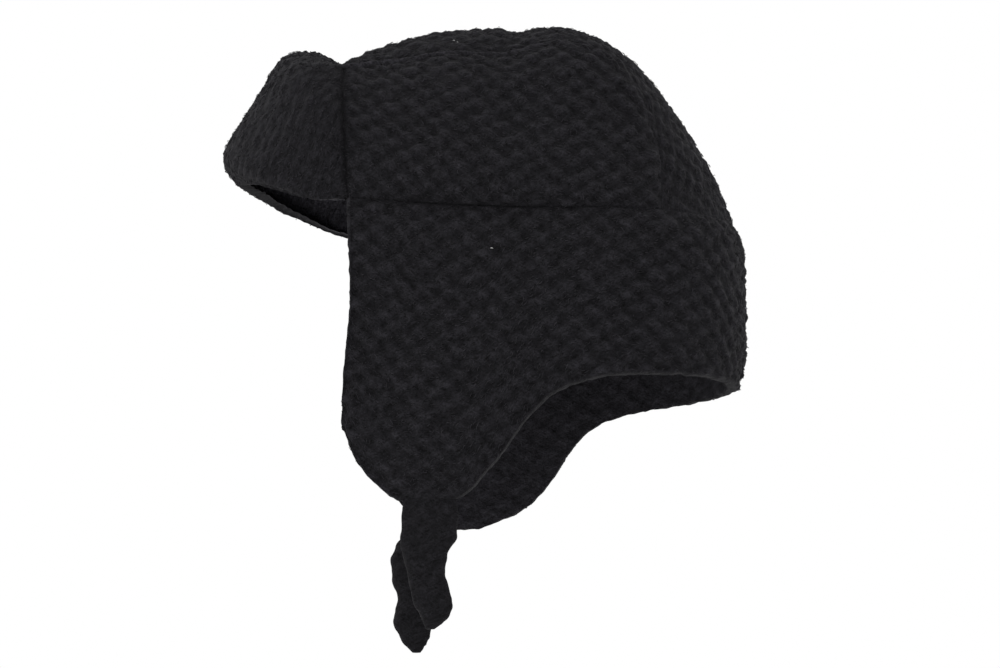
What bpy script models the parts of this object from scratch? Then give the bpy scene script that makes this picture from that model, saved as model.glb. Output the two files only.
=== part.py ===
"""Aviator hat in a thick knit.

The crown is two side panels and a centre strip. Below it a band runs round the sides and the back
and drops into two ear flaps, which end in short soft ties. A hollow peak is sewn to the front of
the crown, behind a narrow crescent of its own.

Lengths are in metres and +Z is up. The wearer looks along -Y, with the left ear on +X. The origin
is the top of the hollow, where the hat rests on a head.
"""

import math
from collections import namedtuple

import bmesh
import bpy
from mathutils import Vector

# Knit
KNIT_WALL = 0.0045
SEAM_GAP = 0.0003
# Clear space between a tie and the slanting inner side of its flap
TIE_CLEARANCE = 0.0006

# Crown
CROWN_LENGTH = 0.211
CROWN_HEIGHT = 0.108
FRONT_REACH = 0.1110
PANEL_BULGE = 0.011
ARCH_BULGE = 0.011

# Head opening, at the seam of crown and band
HALF_WIDTH = 0.080
FRONT_HALF_WIDTH = 0.075
BACK_ROUND = 0.090
CORNER_SETBACK = 0.0125
SEAM_RISE = 0.008

# Band and ear flaps
BAND_DEPTH = 0.0865
BAND_BULGE = 0.0060
FLAP_DROP = 0.067
FLAP_LEAN = 0.005
FLAP_SWAY = 0.0026

# Peak, measured from its corners to the middle of its free edge
PEAK_REACH = 0.0710
PEAK_LIFT = 0.020
PEAK_SWELL = 0.0855

# Ties, with the stretch that is tucked in behind the flap
TIE_LENGTH = 0.076
TIE_TUCK = 0.008
TIE_WIDTH = 0.032
TIE_THICKNESS = 0.010
TIE_LEAN = 0.012

# The back of the opening is a superellipse, squarer than a circle
BACK_SQUARENESS = 2.2
# The ridge seams come down on the opening's seam at this share of the quarter turn from the back
RIDGE_TURN = 0.578

# How gradually things change: 1 is an even change, and more starts slowly and ends fast
SEAM_RISE_GROWTH = 1.5
FLAP_LEAN_GROWTH = 1.4
CRESCENT_GROWTH = 1.5
COLUMN_CROWDING = 1.2
# A side panel reaches its full bulge soon behind its edges when this is well under 1
PANEL_ROUNDNESS = 0.6

# Faces along each kind of edge
PANEL_COLUMNS = 20
PANEL_ROWS = 10
STRIP_COLUMNS = 8
BAND_ROWS = 14
CRESCENT_ROWS = 3
PEAK_ROWS = 9
TIE_SIDES = 14
TIE_ROWS_PER_SECTION = 2

# Ridge and centre line of the strip, from the front to the back. Columns that end in out are shares
# of HALF_WIDTH, in back of CROWN_LENGTH, in down of CROWN_HEIGHT.
StripSection = namedtuple("StripSection", "ridge_out ridge_back ridge_down centre_back centre_down")
STRIP = [
    StripSection(0.475, 0.022, 0.205, 0.000, 0.163),
    StripSection(0.488, 0.095, 0.197, 0.069, 0.104),
    StripSection(0.500, 0.168, 0.190, 0.145, 0.058),
    StripSection(0.510, 0.295, 0.156, 0.272, 0.012),
    StripSection(0.510, 0.422, 0.168, 0.395, 0.004),
    StripSection(0.510, 0.488, 0.141, 0.452, 0.026),
    StripSection(0.510, 0.573, 0.104, 0.550, 0.005),
    StripSection(0.525, 0.655, 0.142, 0.645, 0.050),
    StripSection(0.550, 0.726, 0.240, 0.754, 0.182),
    StripSection(0.590, 0.786, 0.398, 0.837, 0.384),
    StripSection(0.640, 0.818, 0.574, 0.901, 0.575),
    StripSection(0.695, 0.845, 0.776, 0.958, 0.780),
]
# The side panel's upper edge turns down into its back edge at this row of the table
SHOULDER_ROW = 8

# Relief of a side panel from the ridge down to the seam: a shallow hollow, then a soft level fold
PanelRelief = namedtuple("PanelRelief", "down bulge")
PANEL_RELIEF = [
    PanelRelief(0.00, 0.00),
    PanelRelief(0.12, 0.48),
    PanelRelief(0.28, 0.80),
    PanelRelief(0.48, 0.84),
    PanelRelief(0.62, 0.90),
    PanelRelief(0.76, 1.06),
    PanelRelief(0.88, 0.96),
    PanelRelief(0.95, 0.62),
    PanelRelief(1.00, 0.00),
]

# The band's bulge from its seam down to its rim
BandRelief = namedtuple("BandRelief", "down bulge")
BAND_RELIEF = [
    BandRelief(0.00, 0.00),
    BandRelief(0.05, 0.52),
    BandRelief(0.14, 0.86),
    BandRelief(0.45, 1.04),
    BandRelief(0.75, 1.03),
    BandRelief(0.90, 0.78),
    BandRelief(1.00, 0.28),
]

# Lower rim: back is the share of CROWN_LENGTH behind the flap's front edge, drop that of FLAP_DROP
Rim = namedtuple("Rim", "back drop")
RIM = [
    Rim(0.000, 0.44),
    Rim(0.026, 0.67),
    Rim(0.052, 0.80),
    Rim(0.087, 0.91),
    Rim(0.128, 1.00),
    Rim(0.276, 1.00),
    Rim(0.308, 0.95),
    Rim(0.346, 0.82),
    Rim(0.390, 0.67),
    Rim(0.453, 0.40),
    Rim(0.530, 0.18),
    Rim(0.608, 0.085),
    Rim(0.710, 0.034),
    Rim(0.808, 0.015),
    Rim(0.900, 0.00),
    Rim(1.100, 0.00),
]

# The front edge of a flap sways forward and back on its way down, in shares of FLAP_SWAY
Sway = namedtuple("Sway", "down forward")
SWAY = [
    Sway(0.00, 0.00),
    Sway(0.20, -0.45),
    Sway(0.45, -0.80),
    Sway(0.65, 0.00),
    Sway(0.85, 0.80),
    Sway(0.96, 1.00),
    Sway(1.00, 0.70),
]
# The sway dies out over this share of CROWN_LENGTH
SWAY_FADE = 0.20

# Free edge of the peak, from its middle to its corner: shares of FRONT_HALF_WIDTH, of PEAK_REACH
# and of PEAK_LIFT
PeakEdge = namedtuple("PeakEdge", "around out forward rise")
PEAK_EDGE = [
    PeakEdge(0.00, 0.00, 1.00, 1.00),
    PeakEdge(0.20, 0.30, 0.91, 0.86),
    PeakEdge(0.47, 0.66, 0.74, 0.62),
    PeakEdge(0.61, 0.79, 0.57, 0.39),
    PeakEdge(0.75, 0.88, 0.40, 0.17),
    PeakEdge(0.87, 0.93, 0.22, 0.04),
    PeakEdge(1.00, 0.97, 0.04, 0.01),
]

# Section of the peak, from the crown to the free edge, in shares of the straight line between them
PeakProfile = namedtuple("PeakProfile", "along swell")
PEAK_PROFILE = [
    PeakProfile(0.000, 0.000),
    PeakProfile(0.087, 0.203),
    PeakProfile(0.220, 0.315),
    PeakProfile(0.330, 0.318),
    PeakProfile(0.417, 0.300),
    PeakProfile(0.600, 0.272),
    PeakProfile(0.730, 0.251),
    PeakProfile(0.886, 0.216),
    PeakProfile(0.941, 0.181),
    PeakProfile(0.988, 0.113),
    PeakProfile(1.000, 0.000),
]
# Share of the swell that is left where the peak's corner meets the band
CORNER_SWELL = 0.45
# Share of the section that the crescent takes, in the middle and at the corners
CRESCENT_MIDDLE = 0.17
CRESCENT_CORNER = 0.48

# Ties from the flap down: shares of TIE_LENGTH, TIE_WIDTH, TIE_WIDTH, TIE_THICKNESS and TIE_LEAN
TieSection = namedtuple("TieSection", "down forward width thickness lean")
LEFT_TIE = [
    TieSection(0.000, 0.00, 0.86, 0.50, 0.00),
    TieSection(0.105, 0.00, 0.88, 0.50, 0.00),
    TieSection(0.210, 0.01, 0.94, 0.80, 0.03),
    TieSection(0.355, 0.04, 0.94, 0.95, 0.16),
    TieSection(0.500, 0.12, 0.74, 1.00, 0.36),
    TieSection(0.640, 0.10, 0.64, 1.00, 0.55),
    TieSection(0.785, 0.02, 0.66, 0.95, 0.74),
    TieSection(0.910, -0.02, 0.50, 0.80, 0.90),
    TieSection(1.000, 0.06, 0.14, 0.40, 1.00),
]
RIGHT_TIE = [
    TieSection(0.000, -0.10, 0.74, 0.50, 0.00),
    TieSection(0.105, 0.08, 0.78, 0.50, 0.00),
    TieSection(0.195, 0.26, 0.80, 0.80, 0.03),
    TieSection(0.320, 0.38, 0.76, 0.95, 0.16),
    TieSection(0.445, 0.36, 0.74, 1.00, 0.36),
    TieSection(0.600, 0.27, 0.70, 1.00, 0.55),
    TieSection(0.730, 0.34, 0.68, 0.95, 0.74),
    TieSection(0.875, 0.30, 0.48, 0.80, 0.90),
    TieSection(0.965, 0.27, 0.14, 0.40, 1.00),
]
# Middle of each tie on the rim, as a share of CROWN_LENGTH behind the front edge: the right tie is
# sewn further forward and swings forward
LEFT_TIE_PLACE = 0.208
RIGHT_TIE_PLACE = 0.135

# Where the wall is measured to: a flat core inside the head, which each point of the hat faces
CORE_FRONT_SHARE = 0.02
CORE_BACK_SHARE = 0.64
CORE_TOP_SHARE = 0.51
# A wall that leans more than this from its core line isn't thickened any further
STEEPEST_WALL = 0.6

CROWN_TOP = KNIT_WALL
FRONT_Y = -FRONT_REACH
CORNER_Y = FRONT_Y + CORNER_SETBACK
BACK_Y = FRONT_Y + CROWN_LENGTH
SIDE_Y = BACK_Y - BACK_ROUND
SEAM_Z = CROWN_TOP - CROWN_HEIGHT
RIM_Z = SEAM_Z - BAND_DEPTH

YARN_COLOUR = (0.0165, 0.0155, 0.0175, 1.0)
YARN_ROUGHNESS = 0.95
# Edges sharper than this stay sharp in the shading
SHARP_DEGREES = 40


def follow(stops, values, at):
    """Value at a place on a smooth curve through the rows, which never swings past a row."""
    count = len(stops)
    steps = [stops[i + 1] - stops[i] for i in range(count - 1)]
    rises = [(values[i + 1] - values[i]) / steps[i] for i in range(count - 1)]
    slopes = [rises[0]] + [0.0] * (count - 2) + [rises[-1]]
    for i in range(1, count - 1):
        if rises[i - 1] * rises[i] > 0:
            before = 2 * steps[i] + steps[i - 1]
            after = steps[i] + 2 * steps[i - 1]
            slopes[i] = (before + after) / (before / rises[i - 1] + after / rises[i])
    at = min(max(at, stops[0]), stops[-1])
    i = max(k for k in range(count - 1) if stops[k] <= at)
    t = (at - stops[i]) / steps[i]
    from_rows = values[i] * (1 + 2 * t) * (1 - t) ** 2 + values[i + 1] * t * t * (3 - 2 * t)
    from_slopes = slopes[i] * t * (1 - t) ** 2 + slopes[i + 1] * t * t * (t - 1)
    return from_rows + steps[i] * from_slopes


def column(rows, name):
    return [getattr(row, name) for row in rows]


def seam_point(turn):
    """Point of the seam between crown and band: 0 is the middle of the back, 1 the side, where the
    round back ends, and 2 the front corner."""
    if turn < 1:
        angle = turn * math.pi / 2
        power = 2 / BACK_SQUARENESS
        across = HALF_WIDTH * math.sin(angle) ** power
        return Vector((across, SIDE_Y + BACK_ROUND * math.cos(angle) ** power, SEAM_Z))
    along = turn - 1
    across = HALF_WIDTH + (FRONT_HALF_WIDTH - HALF_WIDTH) * along**2
    height = SEAM_Z + SEAM_RISE * along**SEAM_RISE_GROWTH
    return Vector((across, SIDE_Y + (CORNER_Y - SIDE_Y) * along, height))


def ridge_and_centre(row):
    """Ridge point and centre point of the strip at a row of the table, with the seam as last row."""
    end = seam_point(RIDGE_TURN)
    back = seam_point(0)
    stops = list(range(len(STRIP) + 1))

    def value(name, scale, start, last):
        return follow(stops, [start + scale * v for v in column(STRIP, name)] + [last], row)

    ridge = Vector(
        (
            value("ridge_out", HALF_WIDTH, 0, end.x),
            value("ridge_back", CROWN_LENGTH, FRONT_Y, end.y),
            value("ridge_down", -CROWN_HEIGHT, CROWN_TOP, end.z),
        )
    )
    centre = Vector(
        (
            0,
            value("centre_back", CROWN_LENGTH, FRONT_Y, back.y),
            value("centre_down", -CROWN_HEIGHT, CROWN_TOP, back.z),
        )
    )
    return ridge, centre


def strip_point(row, across):
    """Point of the strip: across runs from -1 on the right ridge to 1 on the left one. Each section
    is domed as the back of the opening is, so the strip ends on it."""
    ridge, centre = ridge_and_centre(row)
    end = seam_point(RIDGE_TURN)
    back = seam_point(0)
    level = seam_point(RIDGE_TURN * abs(across))
    out = level.x / end.x
    dome = (level.y - end.y) / (back.y - end.y)
    point = ridge.lerp(centre, dome)
    point.x = math.copysign(ridge.x * out, across)
    return point


def ridge_point(row):
    return ridge_and_centre(row)[0]


def arch_edge(down):
    """Front edge of the left side panel, from the ridge down to the corner."""
    top = ridge_point(0)
    corner = seam_point(2)
    chord = corner - top
    out = Vector((-chord.z, 0, chord.x)).normalized()
    return top + chord * down + out * ARCH_BULGE * math.sin(math.pi * down)


def seam_turn(back):
    """Turn of the seam at a share of the side panel's lower edge, from the front corner back."""
    side = SIDE_Y - CORNER_Y
    end = seam_point(RIDGE_TURN)
    rounded = (seam_point(1) - end).length
    side_share = side / (side + rounded)
    if back < side_share:
        return 2 - back / side_share
    return 1 - (1 - RIDGE_TURN) * (back - side_share) / (1 - side_share)


def core_of(point):
    """Nearest point of the flat core inside the head."""
    front = FRONT_Y - CORE_FRONT_SHARE * CROWN_LENGTH
    back = FRONT_Y + CORE_BACK_SHARE * CROWN_LENGTH
    top = CROWN_TOP - CORE_TOP_SHARE * CROWN_HEIGHT
    return Vector((0, min(max(point.y, front), back), min(point.z, top)))


def inward(point):
    return (core_of(point) - point).normalized()


def panel_point(back, down):
    """Point of the left side panel, blended from its four edges and bulged outward."""
    top = ridge_point(SHOULDER_ROW * back)
    low = seam_point(seam_turn(back))
    front = arch_edge(down)
    rear = ridge_point(SHOULDER_ROW + (len(STRIP) - SHOULDER_ROW) * down)
    corners = (
        ridge_point(0).lerp(ridge_point(SHOULDER_ROW), back),
        seam_point(2).lerp(seam_point(RIDGE_TURN), back),
    )
    point = top.lerp(low, down) + front.lerp(rear, back) - corners[0].lerp(corners[1], down)
    relief = follow(column(PANEL_RELIEF, "down"), column(PANEL_RELIEF, "bulge"), down)
    across = math.sin(math.pi * back) ** PANEL_ROUNDNESS if 0 < back < 1 else 0
    return point - inward(point) * PANEL_BULGE * relief * across


def rim_height(y):
    drop = follow(column(RIM, "back"), column(RIM, "drop"), (y - CORNER_Y) / CROWN_LENGTH)
    return RIM_Z - FLAP_DROP * drop


def band_point(turn, down):
    """Point of the left half of the band, from the seam down to the rim."""
    top = seam_point(turn)
    rim = rim_height(top.y)
    point = Vector((top.x, top.y, top.z + (rim - top.z) * down))
    relief = follow(column(BAND_RELIEF, "down"), column(BAND_RELIEF, "bulge"), down)
    point -= inward(point) * BAND_BULGE * relief
    below = max(0, RIM_Z - point.z) / FLAP_DROP
    point.x -= FLAP_LEAN * below**FLAP_LEAN_GROWTH
    fade = max(0, 1 - (top.y - CORNER_Y) / (SWAY_FADE * CROWN_LENGTH))
    point.y -= FLAP_SWAY * fade * follow(column(SWAY, "down"), column(SWAY, "forward"), down)
    return point


def arch_point(around):
    """Point of the crown's front edge: 0 is the middle, 1 the corner. The strip's half comes first."""
    strip_share = (STRIP_COLUMNS / 2) / (STRIP_COLUMNS / 2 + PANEL_ROWS)
    if around <= strip_share:
        return strip_point(0, around / strip_share)
    return arch_edge((around - strip_share) / (1 - strip_share))


def peak_edge_point(around):
    def share(name):
        return follow(column(PEAK_EDGE, "around"), column(PEAK_EDGE, name), around)

    corner = seam_point(2)
    return Vector(
        (
            FRONT_HALF_WIDTH * share("out"),
            corner.y - PEAK_REACH * share("forward"),
            corner.z + PEAK_LIFT * share("rise"),
        )
    )


def profile_stops():
    """Length along the peak's section at each row of its table, as a share of the whole."""
    rows = PEAK_PROFILE
    stops = [0.0]
    for one, two in zip(rows, rows[1:]):
        stops.append(stops[-1] + math.hypot(two.along - one.along, two.swell - one.swell))
    return [stop / stops[-1] for stop in stops]


def peak_point(around, forward):
    """Point of the left half of the peak, from the crown's front edge to the free edge."""
    start = arch_point(around)
    end = peak_edge_point(around)
    chord = end - start
    middle = (start + end) / 2
    outward = -inward(middle)
    direction = chord.normalized()
    out = (outward - direction * outward.dot(direction)).normalized()
    stops = profile_stops()
    along = follow(stops, column(PEAK_PROFILE, "along"), forward)
    swell = follow(stops, column(PEAK_PROFILE, "swell"), forward)
    fullness = 1 - (1 - CORNER_SWELL) * around**2
    height = PEAK_SWELL * chord.length / peak_chord() * swell * fullness
    return start + chord * along + out * height


def peak_chord():
    return (peak_edge_point(0) - arch_point(0)).length


def crescent_share(around):
    """Share of the section that the crescent takes, from the middle to the corner."""
    return CRESCENT_MIDDLE + (CRESCENT_CORNER - CRESCENT_MIDDLE) * around**CRESCENT_GROWTH


def mirrored(point):
    return Vector((-point.x, point.y, point.z))


def both_halves(rows):
    """Joins rows that run from the middle to the left corner with their mirror image."""
    return [[mirrored(point) for point in reversed(row[1:])] + row for row in rows]


def normal_at(grid, i, j):
    """Normal of a grid of points, from its neighbours there."""
    above = grid[max(i - 1, 0)][j]
    below = grid[min(i + 1, len(grid) - 1)][j]
    before = grid[i][max(j - 1, 0)]
    after = grid[i][min(j + 1, len(grid[0]) - 1)]
    return (below - above).cross(after - before).normalized()


def inner_side(grid):
    """The wall's inner side: each point goes towards the core, far enough for the wall."""
    inner = []
    for i, row in enumerate(grid):
        line = []
        for j, point in enumerate(row):
            direction = inward(point)
            slope = max(abs(normal_at(grid, i, j).dot(direction)), STEEPEST_WALL)
            line.append(point + direction * KNIT_WALL / slope)
        inner.append(line)
    return inner


def pull_back(grid, edges):
    """Draws the named edges back by half the gap, so that neighbours stay clear of each other."""
    moves = []
    last_row = len(grid) - 1
    last = len(grid[0]) - 1
    for edge in edges:
        if edge in ("first row", "last row"):
            i, step = (0, 1) if edge == "first row" else (last_row, -1)
            moves += [(i, j, grid[i + step][j] - grid[i][j]) for j in range(last + 1)]
        else:
            j, step = (0, 1) if edge == "first column" else (last, -1)
            moves += [(i, j, grid[i][j + step] - grid[i][j]) for i in range(last_row + 1)]
    for i, j, towards in moves:
        grid[i][j] = grid[i][j] + towards.normalized() * SEAM_GAP / 2


def body_from_faces(name, points, faces, collection):
    """Adds a closed mesh object with its own knit material."""
    mesh = bmesh.new()
    corners = [mesh.verts.new(point) for point in points]
    for face in faces:
        mesh.faces.new([corners[i] for i in face])
    bmesh.ops.recalc_face_normals(mesh, faces=mesh.faces)
    data = bpy.data.meshes.new(name)
    mesh.to_mesh(data)
    mesh.free()
    data.shade_smooth()
    data.set_sharp_from_angle(angle=math.radians(SHARP_DEGREES))
    data.materials.append(knit_material(name))
    body = bpy.data.objects.new(name, data)
    collection.objects.link(body)
    return body


def knit_material(name):
    material = bpy.data.materials.new(name + "_knit")
    material.use_nodes = True
    shader = material.node_tree.nodes["Principled BSDF"]
    shader.inputs["Base Color"].default_value = YARN_COLOUR
    shader.inputs["Roughness"].default_value = YARN_ROUGHNESS
    shader.inputs["Metallic"].default_value = 0.0
    return material


def shell(name, grid, seams, collection):
    """A wall of knit: the grid is its outer side, and seams are the edges that meet a neighbour."""
    inner = inner_side(grid)
    pull_back(grid, seams)
    pull_back(inner, seams)
    rows = len(grid)
    width = len(grid[0])
    points = [point for row in grid for point in row] + [point for row in inner for point in row]

    def at(i, j, side):
        return side * rows * width + i * width + j

    faces = []
    for i in range(rows - 1):
        for j in range(width - 1):
            faces.append((at(i, j, 0), at(i + 1, j, 0), at(i + 1, j + 1, 0), at(i, j + 1, 0)))
            faces.append((at(i, j, 1), at(i, j + 1, 1), at(i + 1, j + 1, 1), at(i + 1, j, 1)))
    for i in range(rows - 1):
        for j in (0, width - 1):
            faces.append((at(i, j, 0), at(i, j, 1), at(i + 1, j, 1), at(i + 1, j, 0)))
    for j in range(width - 1):
        for i in (0, rows - 1):
            faces.append((at(i, j, 0), at(i, j + 1, 0), at(i, j + 1, 1), at(i, j, 1)))
    return body_from_faces(name, points, faces, collection)


def panel_columns():
    """Places of the side panel's columns, closer together towards the front."""
    return [(k / PANEL_COLUMNS) ** COLUMN_CROWDING for k in range(PANEL_COLUMNS + 1)]


def side_panels(collection):
    left = [
        [panel_point(back, i / PANEL_ROWS) for back in panel_columns()]
        for i in range(PANEL_ROWS + 1)
    ]
    right = [[mirrored(point) for point in row] for row in left]
    seams = ("first row", "last row", "first column", "last column")
    shell("crown_side_left", left, seams, collection)
    shell("crown_side_right", right, seams, collection)


def centre_strip(collection):
    """The strip's rows match the side panel's columns on top and its rows at the back."""
    rows = [SHOULDER_ROW * back for back in panel_columns()]
    behind = len(STRIP) - SHOULDER_ROW
    rows += [SHOULDER_ROW + behind * i / PANEL_ROWS for i in range(1, PANEL_ROWS + 1)]
    half = STRIP_COLUMNS // 2
    grid = [[strip_point(row, j / half) for j in range(-half, half + 1)] for row in rows]
    seams = ("first row", "last row", "first column", "last column")
    shell("crown_centre_strip", grid, seams, collection)


def ear_flap_band(collection):
    """The band's columns match the strip's at the back and the side panel's at the sides."""
    half = STRIP_COLUMNS // 2
    turns = [RIDGE_TURN * j / half for j in range(half + 1)]
    turns += [seam_turn(back) for back in reversed(panel_columns()[:-1])]
    rows = [[band_point(turn, i / BAND_ROWS) for turn in turns] for i in range(BAND_ROWS + 1)]
    shell("ear_flap_band", both_halves(rows), ("first row",), collection)


def peak_and_crescent(collection):
    half = STRIP_COLUMNS // 2 + PANEL_ROWS
    arounds = [j / half for j in range(half + 1)]
    crescent = [
        [peak_point(around, crescent_share(around) * i / CRESCENT_ROWS) for around in arounds]
        for i in range(CRESCENT_ROWS + 1)
    ]
    peak = []
    for i in range(PEAK_ROWS + 1):
        line = []
        for around in arounds:
            start = crescent_share(around)
            line.append(peak_point(around, start + (1 - start) * i / PEAK_ROWS))
        peak.append(line)
    shell("peak_band", both_halves(crescent), ("first row", "last row"), collection)
    shell("peak", both_halves(peak), ("first row",), collection)


def tie_section(sections, row):
    """Section of a tie at a place between the rows of its table."""
    stops = list(range(len(sections)))
    return TieSection(*[follow(stops, column(sections, field), row) for field in TieSection._fields])


def tie(name, sections, place, side, collection):
    """A soft flat tie, sewn in behind the rim of a flap, that narrows to a blunt point."""
    hang_y = CORNER_Y + place * CROWN_LENGTH
    rim = band_point(place_on_seam(hang_y), 1)
    top_thickness = TIE_THICKNESS * sections[0].thickness
    hang_x = rim.x - KNIT_WALL - TIE_CLEARANCE - top_thickness / 2
    steps = TIE_ROWS_PER_SECTION * (len(sections) - 1)
    points = []
    for i in range(steps + 1):
        section = tie_section(sections, i / TIE_ROWS_PER_SECTION)
        middle = Vector(
            (
                side * (hang_x - TIE_LEAN * section.lean),
                hang_y - TIE_WIDTH * section.forward,
                rim.z + TIE_TUCK - TIE_LENGTH * section.down,
            )
        )
        for k in range(TIE_SIDES):
            angle = 2 * math.pi * k / TIE_SIDES
            thick = TIE_THICKNESS / 2 * section.thickness * math.sin(angle)
            across = TIE_WIDTH / 2 * section.width * math.cos(angle)
            points.append(middle + Vector((thick, across, 0)))
    faces = [tuple(range(TIE_SIDES)), tuple(steps * TIE_SIDES + k for k in range(TIE_SIDES))]
    for i in range(steps):
        for k in range(TIE_SIDES):
            after = (k + 1) % TIE_SIDES
            low = (i + 1) * TIE_SIDES
            faces.append((i * TIE_SIDES + k, i * TIE_SIDES + after, low + after, low + k))
    return body_from_faces(name, points, faces, collection)


def place_on_seam(y):
    """Turn of the seam's straight side at a place along Y."""
    return 1 + (y - SIDE_Y) / (CORNER_Y - SIDE_Y)


def main():
    for old in list(bpy.data.objects):
        bpy.data.objects.remove(old, do_unlink=True)
    hat = bpy.data.collections.new("aviator_hat")
    bpy.context.scene.collection.children.link(hat)
    side_panels(hat)
    centre_strip(hat)
    ear_flap_band(hat)
    peak_and_crescent(hat)
    tie("left_tie", LEFT_TIE, LEFT_TIE_PLACE, 1, hat)
    tie("right_tie", RIGHT_TIE, RIGHT_TIE_PLACE, -1, hat)


main()
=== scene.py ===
"""Looks of the aviator hat: a black chunky knit with puffy stitches in a diagonal basket lattice.

The surfaces follow the same named sizes and tables as the part's source, so every piece sits where
its solid is. The stitches, the seams, the rolled rims and the loose fibres are added here.

Lengths are in metres and +Z is up. The wearer looks along -Y, with the left ear on +X.
"""

import math

import bmesh
import bpy
import numpy as np
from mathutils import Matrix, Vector


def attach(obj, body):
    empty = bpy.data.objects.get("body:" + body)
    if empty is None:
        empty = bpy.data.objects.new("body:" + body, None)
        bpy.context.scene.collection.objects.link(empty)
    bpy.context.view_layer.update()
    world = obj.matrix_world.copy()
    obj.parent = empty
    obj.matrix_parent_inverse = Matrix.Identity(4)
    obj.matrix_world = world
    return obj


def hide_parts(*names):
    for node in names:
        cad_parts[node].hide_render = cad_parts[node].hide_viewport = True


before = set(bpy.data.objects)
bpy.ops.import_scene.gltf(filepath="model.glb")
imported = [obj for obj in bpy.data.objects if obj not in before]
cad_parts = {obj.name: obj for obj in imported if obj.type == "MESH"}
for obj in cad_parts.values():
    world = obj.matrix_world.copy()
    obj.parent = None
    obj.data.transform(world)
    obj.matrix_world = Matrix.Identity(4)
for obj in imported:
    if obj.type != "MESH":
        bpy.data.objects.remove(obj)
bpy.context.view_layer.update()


def table(names, *rows):
    """The columns of a table, by name."""
    return dict(zip(names.split(), zip(*rows)))


# Knit
KNIT_WALL = 0.0045
# Clear space between a tie and the slanting inner side of its flap
TIE_CLEARANCE = 0.0006

# Crown
CROWN_LENGTH = 0.211
CROWN_HEIGHT = 0.108
FRONT_REACH = 0.1110
PANEL_BULGE = 0.011
ARCH_BULGE = 0.011

# Head opening, at the seam of crown and band
HALF_WIDTH = 0.080
FRONT_HALF_WIDTH = 0.075
BACK_ROUND = 0.090
CORNER_SETBACK = 0.0125
SEAM_RISE = 0.008

# Band and ear flaps
BAND_DEPTH = 0.0865
BAND_BULGE = 0.0060
FLAP_DROP = 0.067
FLAP_LEAN = 0.005
FLAP_SWAY = 0.0026

# Peak, measured from its corners to the middle of its free edge
PEAK_REACH = 0.0710
PEAK_LIFT = 0.020
PEAK_SWELL = 0.0855

# Ties, with the stretch that is tucked in behind the flap
TIE_LENGTH = 0.076
TIE_TUCK = 0.008
TIE_WIDTH = 0.032
TIE_THICKNESS = 0.010
TIE_LEAN = 0.012

# The back of the opening is a superellipse, squarer than a circle
BACK_SQUARENESS = 2.2
# The ridge seams come down on the opening's seam at this share of the quarter turn from the back
RIDGE_TURN = 0.578

# How gradually things change: 1 is an even change, and more starts slowly and ends fast
SEAM_RISE_GROWTH = 1.5
FLAP_LEAN_GROWTH = 1.4
CRESCENT_GROWTH = 1.5
COLUMN_CROWDING = 1.2
# A side panel reaches its full bulge soon behind its edges when this is well under 1
PANEL_ROUNDNESS = 0.6

# Faces along each kind of edge
PANEL_ROWS = 10
STRIP_COLUMNS = 8

# Ridge and centre line of the strip, from the front to the back. Columns that end in out are shares
# of HALF_WIDTH, in back of CROWN_LENGTH, in down of CROWN_HEIGHT.
STRIP = table(
    "ridge_out ridge_back ridge_down centre_back centre_down",
    (0.475, 0.022, 0.205, 0.000, 0.163),
    (0.488, 0.095, 0.197, 0.069, 0.104),
    (0.500, 0.168, 0.190, 0.145, 0.058),
    (0.510, 0.295, 0.156, 0.272, 0.012),
    (0.510, 0.422, 0.168, 0.395, 0.004),
    (0.510, 0.488, 0.141, 0.452, 0.026),
    (0.510, 0.573, 0.104, 0.550, 0.005),
    (0.525, 0.655, 0.142, 0.645, 0.050),
    (0.550, 0.726, 0.240, 0.754, 0.182),
    (0.590, 0.786, 0.398, 0.837, 0.384),
    (0.640, 0.818, 0.574, 0.901, 0.575),
    (0.695, 0.845, 0.776, 0.958, 0.780),
)
# The seam is the row after the last one of the table
STRIP_END = len(STRIP["ridge_out"])
# The side panel's upper edge turns down into its back edge at this row of the table
SHOULDER_ROW = 8

# Relief of a side panel from the ridge down to the seam: a shallow hollow, then a soft level fold
PANEL_RELIEF = table(
    "down bulge",
    (0.00, 0.00), (0.12, 0.48), (0.28, 0.80), (0.48, 0.84), (0.62, 0.90), (0.76, 1.06),
    (0.88, 0.96), (0.95, 0.62), (1.00, 0.00),
)

# The band's bulge from its seam down to its rim
BAND_RELIEF = table(
    "down bulge",
    (0.00, 0.00), (0.05, 0.52), (0.14, 0.86), (0.45, 1.04), (0.75, 1.03), (0.90, 0.78),
    (1.00, 0.28),
)

# Lower rim: back is the share of CROWN_LENGTH behind the flap's front edge, drop that of FLAP_DROP
RIM = table(
    "back drop",
    (0.000, 0.44), (0.026, 0.67), (0.052, 0.80), (0.087, 0.91), (0.128, 1.00), (0.276, 1.00),
    (0.308, 0.95), (0.346, 0.82), (0.390, 0.67), (0.453, 0.40), (0.530, 0.18), (0.608, 0.085),
    (0.710, 0.034), (0.808, 0.015), (0.900, 0.00), (1.100, 0.00),
)

# The front edge of a flap sways forward and back on its way down, in shares of FLAP_SWAY
SWAY = table(
    "down forward",
    (0.00, 0.00), (0.20, -0.45), (0.45, -0.80), (0.65, 0.00), (0.85, 0.80), (0.96, 1.00),
    (1.00, 0.70),
)
# The sway dies out over this share of CROWN_LENGTH
SWAY_FADE = 0.20

# Free edge of the peak, from its middle to its corner: shares of FRONT_HALF_WIDTH, of PEAK_REACH
# and of PEAK_LIFT
PEAK_EDGE = table(
    "around out forward rise",
    (0.00, 0.00, 1.00, 1.00),
    (0.20, 0.30, 0.91, 0.86),
    (0.47, 0.66, 0.74, 0.62),
    (0.61, 0.79, 0.57, 0.39),
    (0.75, 0.88, 0.40, 0.17),
    (0.87, 0.93, 0.22, 0.04),
    (1.00, 0.97, 0.04, 0.01),
)

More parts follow.
